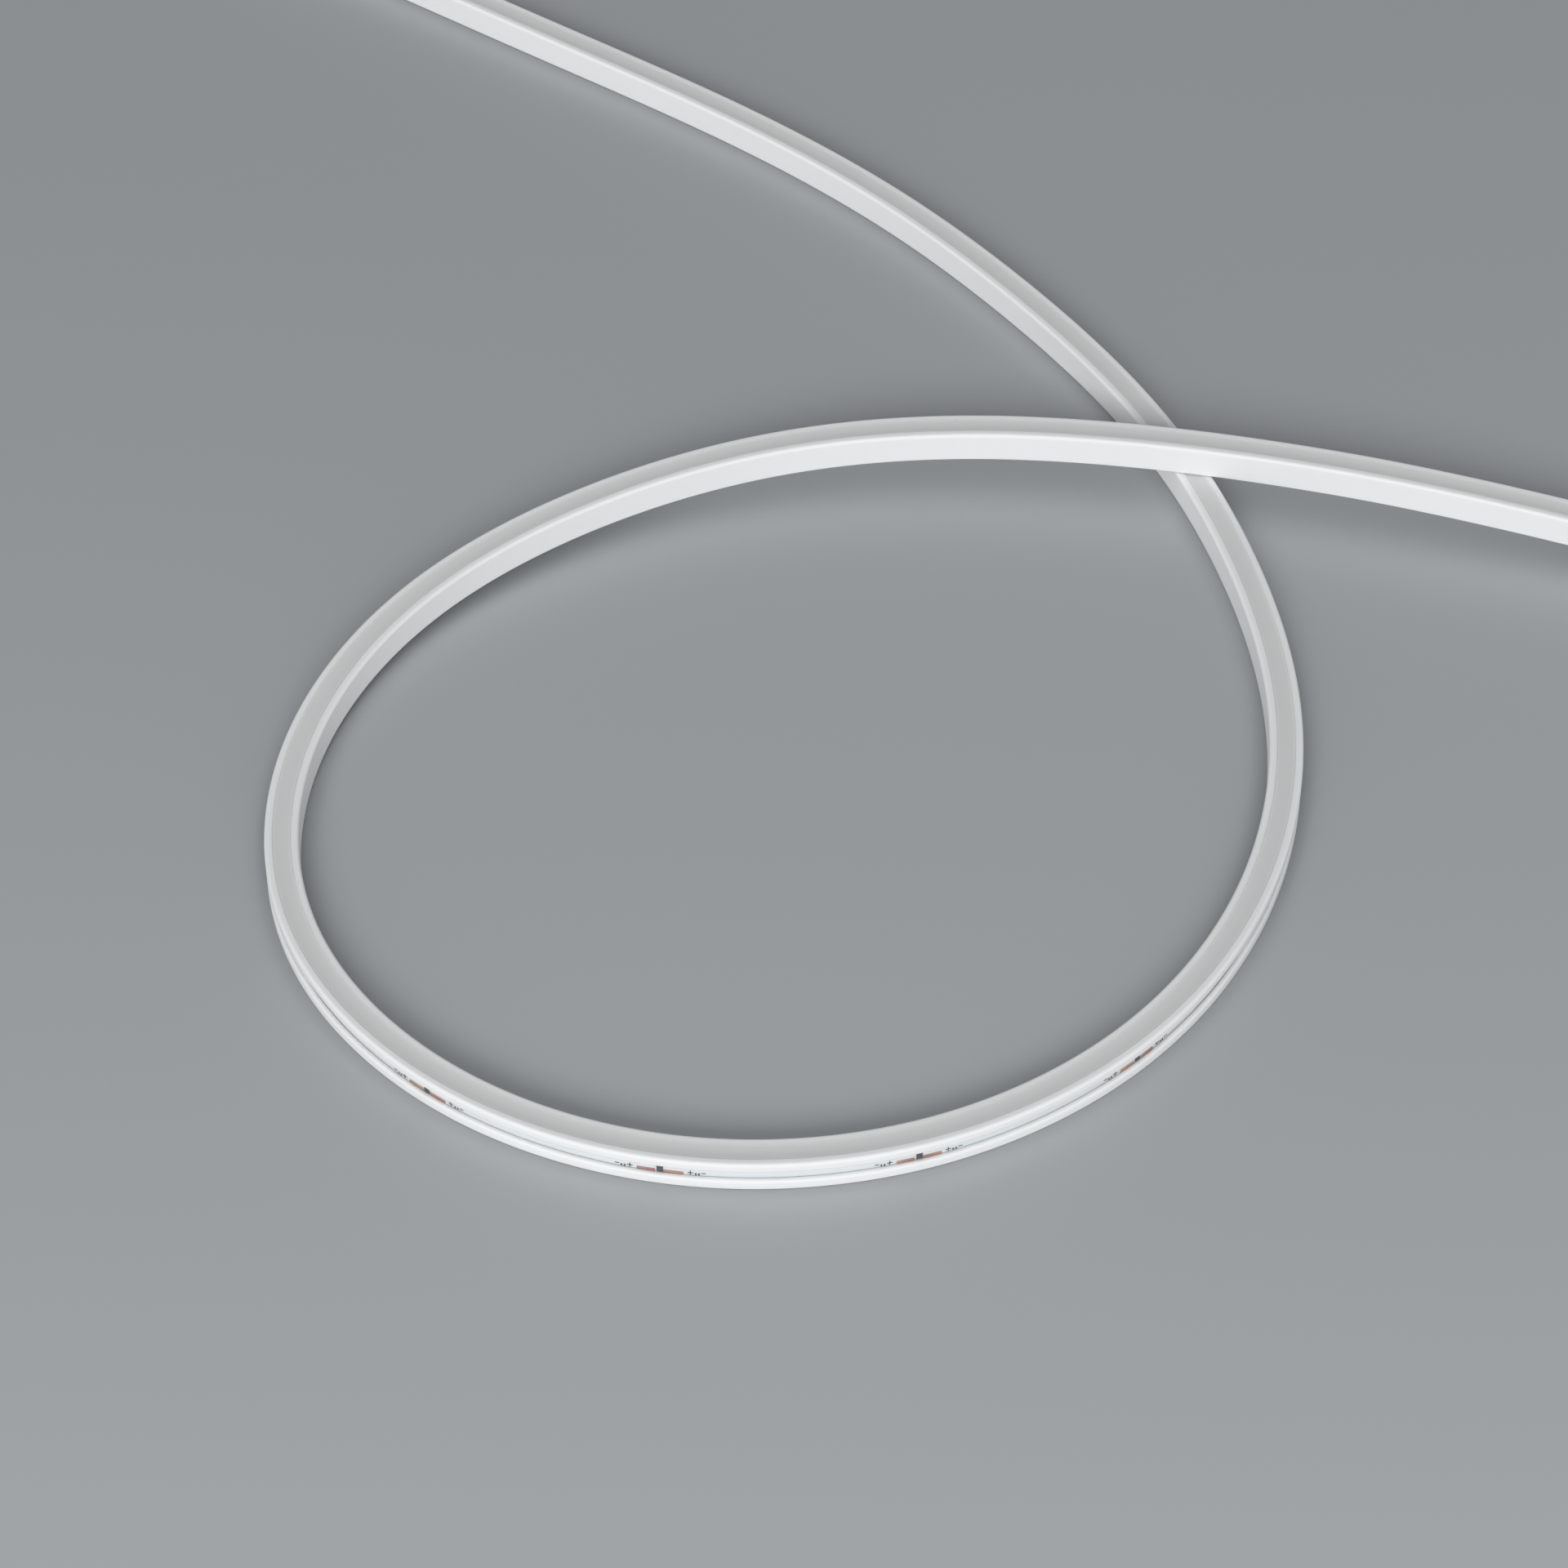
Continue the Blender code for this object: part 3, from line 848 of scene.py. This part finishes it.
def capFinish():
    # moulded silicone: nearly the strip's white, with a fine eroded grain
    material, tree, shader = softSilicone("capSilicone", silicone["specular"], silicone["softness"])
    place = addNode(tree, "ShaderNodeTexCoord").outputs["Object"]
    cloud = noise(tree, place, cap["cloudScale"], cap["cloudDetail"])
    tree.links.new(mixColour(tree, cloud, *cap["shades"]), shader.inputs["Base Color"])
    grain = noise(tree, place, cap["grainScale"], cap["grainDetail"])
    roughen(tree, shader, grain, cap["grainDepth"], *cap["gloss"])
    return material


def squareRing(size, radius):
    # a square of that half size with round corners, its points in polar order
    ring = []
    inner = size - radius
    for corner, (sy, sz) in enumerate(((1, 1), (-1, 1), (-1, -1), (1, -1))):
        for step in range(cap["arcSteps"] + 1):
            angle = math.pi / 2 * (corner + step / cap["arcSteps"])
            ring.append((sy * inner + radius * math.cos(angle), sz * inner + radius * math.sin(angle)))
        start = ring[-1]
        angle = math.pi / 2 * (corner + 1)
        along = (-math.sin(angle), math.cos(angle))
        for step in range(1, cap["sideSteps"]):
            share = 2 * inner * step / cap["sideSteps"]
            ring.append((start[0] + along[0] * share, start[1] + along[1] * share))
    return ring


capOutside = section["width"] / 2 + cap["fit"] + cap["wall"]
capAngles = [math.atan2(z, y) for y, z in squareRing(capOutside, cap["edgeRadius"])]


def roundRing(radius):
    return [(radius * math.cos(angle), radius * math.sin(angle)) for angle in capAngles]


def shellRings():
    # from the bottom of the socket, round the mouth and along the outside to the end face
    inside = section["width"] / 2 + cap["fit"]
    low = capOutside - cap["relief"]
    edge, end = cap["edgeRadius"], cap["fit"] + cap["endWall"]
    mouth = -cap["grip"]
    rings = [
        (cap["fit"], squareRing(inside - cap["chamfer"], cap["insideRadius"])),
        (cap["fit"], squareRing(inside, cap["insideRadius"])),
        (mouth + cap["chamfer"], squareRing(inside, cap["insideRadius"])),
        (mouth, squareRing(inside + cap["chamfer"], cap["insideRadius"])),
        (mouth, squareRing(capOutside - cap["chamfer"], edge - cap["chamfer"])),
        (mouth + cap["chamfer"], squareRing(capOutside, edge)),
    ]

    def raised(start, finish):
        for at, size in (
            (start - cap["slope"], low), (start, capOutside),
            (finish, capOutside), (finish + cap["slope"], low),
        ):
            if at > mouth + cap["chamfer"]:
                rings.append((at, squareRing(size, edge)))

    raised(mouth, mouth + cap["bead"])
    for middle in cap["ribs"]:
        raised(middle - cap["ribWidth"] / 2, middle + cap["ribWidth"] / 2)
    rings.append((cap["shoulder"] - cap["slope"], squareRing(low, edge)))
    rings.append((cap["shoulder"], squareRing(capOutside, edge)))
    for turn in np.linspace(0, math.pi / 2, cap["endSteps"] + 1):
        drop = edge * (1 - math.cos(turn)) / 2
        rings.append((end - edge / 2 * (1 - math.sin(turn)), squareRing(capOutside - drop, edge)))
    face, panel = capOutside - edge, end - cap["panelDepth"]
    rings.append((end, squareRing(face, edge)))
    rings.append((panel, squareRing(face - cap["panelDepth"], edge)))
    return rings, panel


def plainRings():
    rings, panel = shellRings()
    return rings + [(panel - depth, roundRing(radius)) for depth, radius in cap["gate"]]


def feedRings():
    # the collar ends in a hole that leads back into the socket
    rings, panel = shellRings()
    radius, tip = cap["collarRadius"], cap["fit"] + cap["endWall"] + cap["collarLength"]
    rings += [(panel + up, roundRing(radius + more)) for up, more in cap["collarFoot"]]
    for groove in cap["collarGrooves"]:
        at, wide, deep = panel + groove, cap["grooveWidth"] / 2, radius - cap["grooveDepth"]
        for offset, size in ((-wide, radius), (-wide / 2, deep), (wide / 2, deep), (wide, radius)):
            rings.append((at + offset, roundRing(size)))
    hole, chamfer = cap["holeRadius"], cap["chamfer"]
    rings += [
        (tip - 2 * chamfer, roundRing(radius)), (tip - chamfer / 2, roundRing(radius - chamfer / 2)),
        (tip, roundRing(radius - chamfer)), (tip, roundRing(hole + chamfer)),
        (tip - chamfer, roundRing(hole)), (cap["fit"] + chamfer, roundRing(hole)),
        (cap["fit"], roundRing(hole + chamfer)),
    ]
    return rings


def makeCap(name, end, rings, closed):
    # end is 0 at the feed and -1 at the far end; a ring is (distance out of the end face, outline)
    side = Vector((*boardSide[end], 0))
    out = Vector((0, 0, 1)).cross(side) * (1 if end == 0 else -1)
    middle = Vector((*boardLine[end], boardLift[end] + section["height"] / 2))
    middle -= side * section["boardFace"]
    bm = bmesh.new()
    loops = [
        [bm.verts.new(middle + out * at + side * y + Vector((0, 0, z))) for y, z in ring]
        for at, ring in rings
    ]
    pairs = list(zip(loops, loops[1:]))
    if closed:
        pairs.append((loops[-1], loops[0]))
    else:
        bm.faces.new(loops[0])
        bm.faces.new(loops[-1])
    for near, far in pairs:
        for i in range(len(near)):
            after = (i + 1) % len(near)
            bm.faces.new((near[i], near[after], far[after], far[i]))
    bmesh.ops.recalc_face_normals(bm, faces=bm.faces)
    mesh = meshFrom(name, bm)
    smooth(mesh, cap["sharpAngle"])
    mesh.materials.append(capSilicone)
    return addObject(name, mesh)


capSilicone = capFinish()
feedCap = makeCap("feedCap", 0, feedRings(), True)
standFor(feedCap, "end_caps", "feed_end_cap")
plainCap = makeCap("plainCap", -1, plainRings(), False)
standFor(plainCap, "end_caps", "plain_end_cap")
print("end caps done")

for helper in [thing for thing in bpy.data.objects if thing.name.endswith("Shape")]:
    bpy.data.objects.remove(helper, do_unlink=True)
bpy.data.objects.remove(routeLine, do_unlink=True)


# camera, light and floor

stage = {
    "floorSize": 24.0,
    "floorNear": (0.476, 0.501, 0.518, 1),
    "floorFar": (0.36, 0.377, 0.392, 1),
    "nearY": -0.45,
    "farY": 0.3,
    "floorFade": 2.0,
    "floorRoughness": 0.45,
    "floorIor": 2.3,
    "contactReach": 8 * mm,
    "contactFrom": 0.4,
    "contactShade": 0.62,
    "contactSamples": 8,
    "cameraPlace": (-107.83 * mm, -1190.77 * mm, 1046.85 * mm),
    "cameraTilt": 44.98,
    "lens": 115.6,
    "sensor": 36,
    "skyColour": (0.99, 1.0, 1.01, 1),
    "skyBack": 0.14,
    "skyFront": 0.77,
    "skyAzimuth": -96,
    "keyPower": 378,
    "keySize": (6.0, 2.6),
    "keyAim": (-0.1, -0.1, 0),
    "keyDistance": 8.0,
    "keyElevation": 32,
    "keyAzimuth": -97,
}


def floorPaint():
    # a little darker away from the camera, and painted contact shade close beside the strip
    paint, tree, shader = newMaterial("floorPaint", **{
        "Roughness": stage["floorRoughness"], "IOR": stage["floorIor"],
    })
    place = addNode(tree, "ShaderNodeTexCoord").outputs["Object"]
    split = addNode(tree, "ShaderNodeSeparateXYZ", {0: place})
    share = addNode(tree, "ShaderNodeMapRange", {
        "Value": split.outputs["Y"], "From Min": stage["farY"], "From Max": stage["nearY"],
    })
    faded = addNode(
        tree, "ShaderNodeMath", {0: share.outputs[0], 1: stage["floorFade"]}, operation="POWER"
    )
    colour = mixColour(tree, faded.outputs[0], stage["floorFar"], stage["floorNear"])
    # painted shade: ambient occlusion darkens the floor's colour where the strip blocks light
    openness = addNode(
        tree, "ShaderNodeAmbientOcclusion", {"Distance": stage["contactReach"]},
        samples=stage["contactSamples"],
    )
    shade = addNode(tree, "ShaderNodeMapRange", {
        "Value": openness.outputs["AO"], "From Min": stage["contactFrom"],
        "To Min": stage["contactShade"],
    }, interpolation_type="SMOOTHSTEP")
    shaded = vectorMath(tree, "SCALE", {0: colour, "Scale": shade.outputs[0]})
    tree.links.new(shaded, shader.inputs["Base Color"])
    return paint


def makeFloor():
    bm = bmesh.new()
    bmesh.ops.create_grid(bm, x_segments=1, y_segments=1, size=stage["floorSize"] / 2)
    mesh = meshFrom("floor", bm)
    mesh.materials.append(floorPaint())
    addObject("floor", mesh)


def makeCamera():
    camera = addObject("camera", bpy.data.cameras.new("camera"))
    camera.location = stage["cameraPlace"]
    camera.rotation_euler = (math.radians(stage["cameraTilt"]), 0, 0)
    camera.data.lens = stage["lens"]
    camera.data.sensor_width = stage["sensor"]
    bpy.context.scene.camera = camera


def makeSky():
    # brighter on the side of the key
    world = bpy.data.worlds.new("sky")
    bpy.context.scene.world = world
    world.use_nodes = True
    tree = world.node_tree
    background = tree.nodes["Background"]
    background.inputs["Color"].default_value = stage["skyColour"]
    way = addNode(tree, "ShaderNodeTexCoord").outputs["Generated"]
    turn = math.radians(stage["skyAzimuth"])
    share = addNode(
        tree, "ShaderNodeVectorMath", {0: way, 1: (math.cos(turn), math.sin(turn), 0)},
        operation="DOT_PRODUCT",
    )
    level = addNode(tree, "ShaderNodeMapRange", {
        "Value": share.outputs["Value"], "From Min": -1, "From Max": 1,
        "To Min": stage["skyBack"], "To Max": stage["skyFront"],
    })
    tree.links.new(level.outputs[0], background.inputs["Strength"])


def makeKey():
    lamp = bpy.data.lights.new("key", "AREA")
    lamp.shape = "RECTANGLE"
    lamp.size, lamp.size_y = stage["keySize"]
    lamp.energy = stage["keyPower"]
    key = addObject("key", lamp)
    rise, turn = math.radians(stage["keyElevation"]), math.radians(stage["keyAzimuth"])
    aim = Vector(stage["keyAim"])
    way = Vector((math.cos(turn) * math.cos(rise), math.sin(turn) * math.cos(rise), math.sin(rise)))
    key.location = aim + way * stage["keyDistance"]
    key.rotation_euler = (aim - key.location).to_track_quat("-Z", "Y").to_euler()


makeFloor()
makeCamera()
makeSky()
makeKey()
print("stage done")
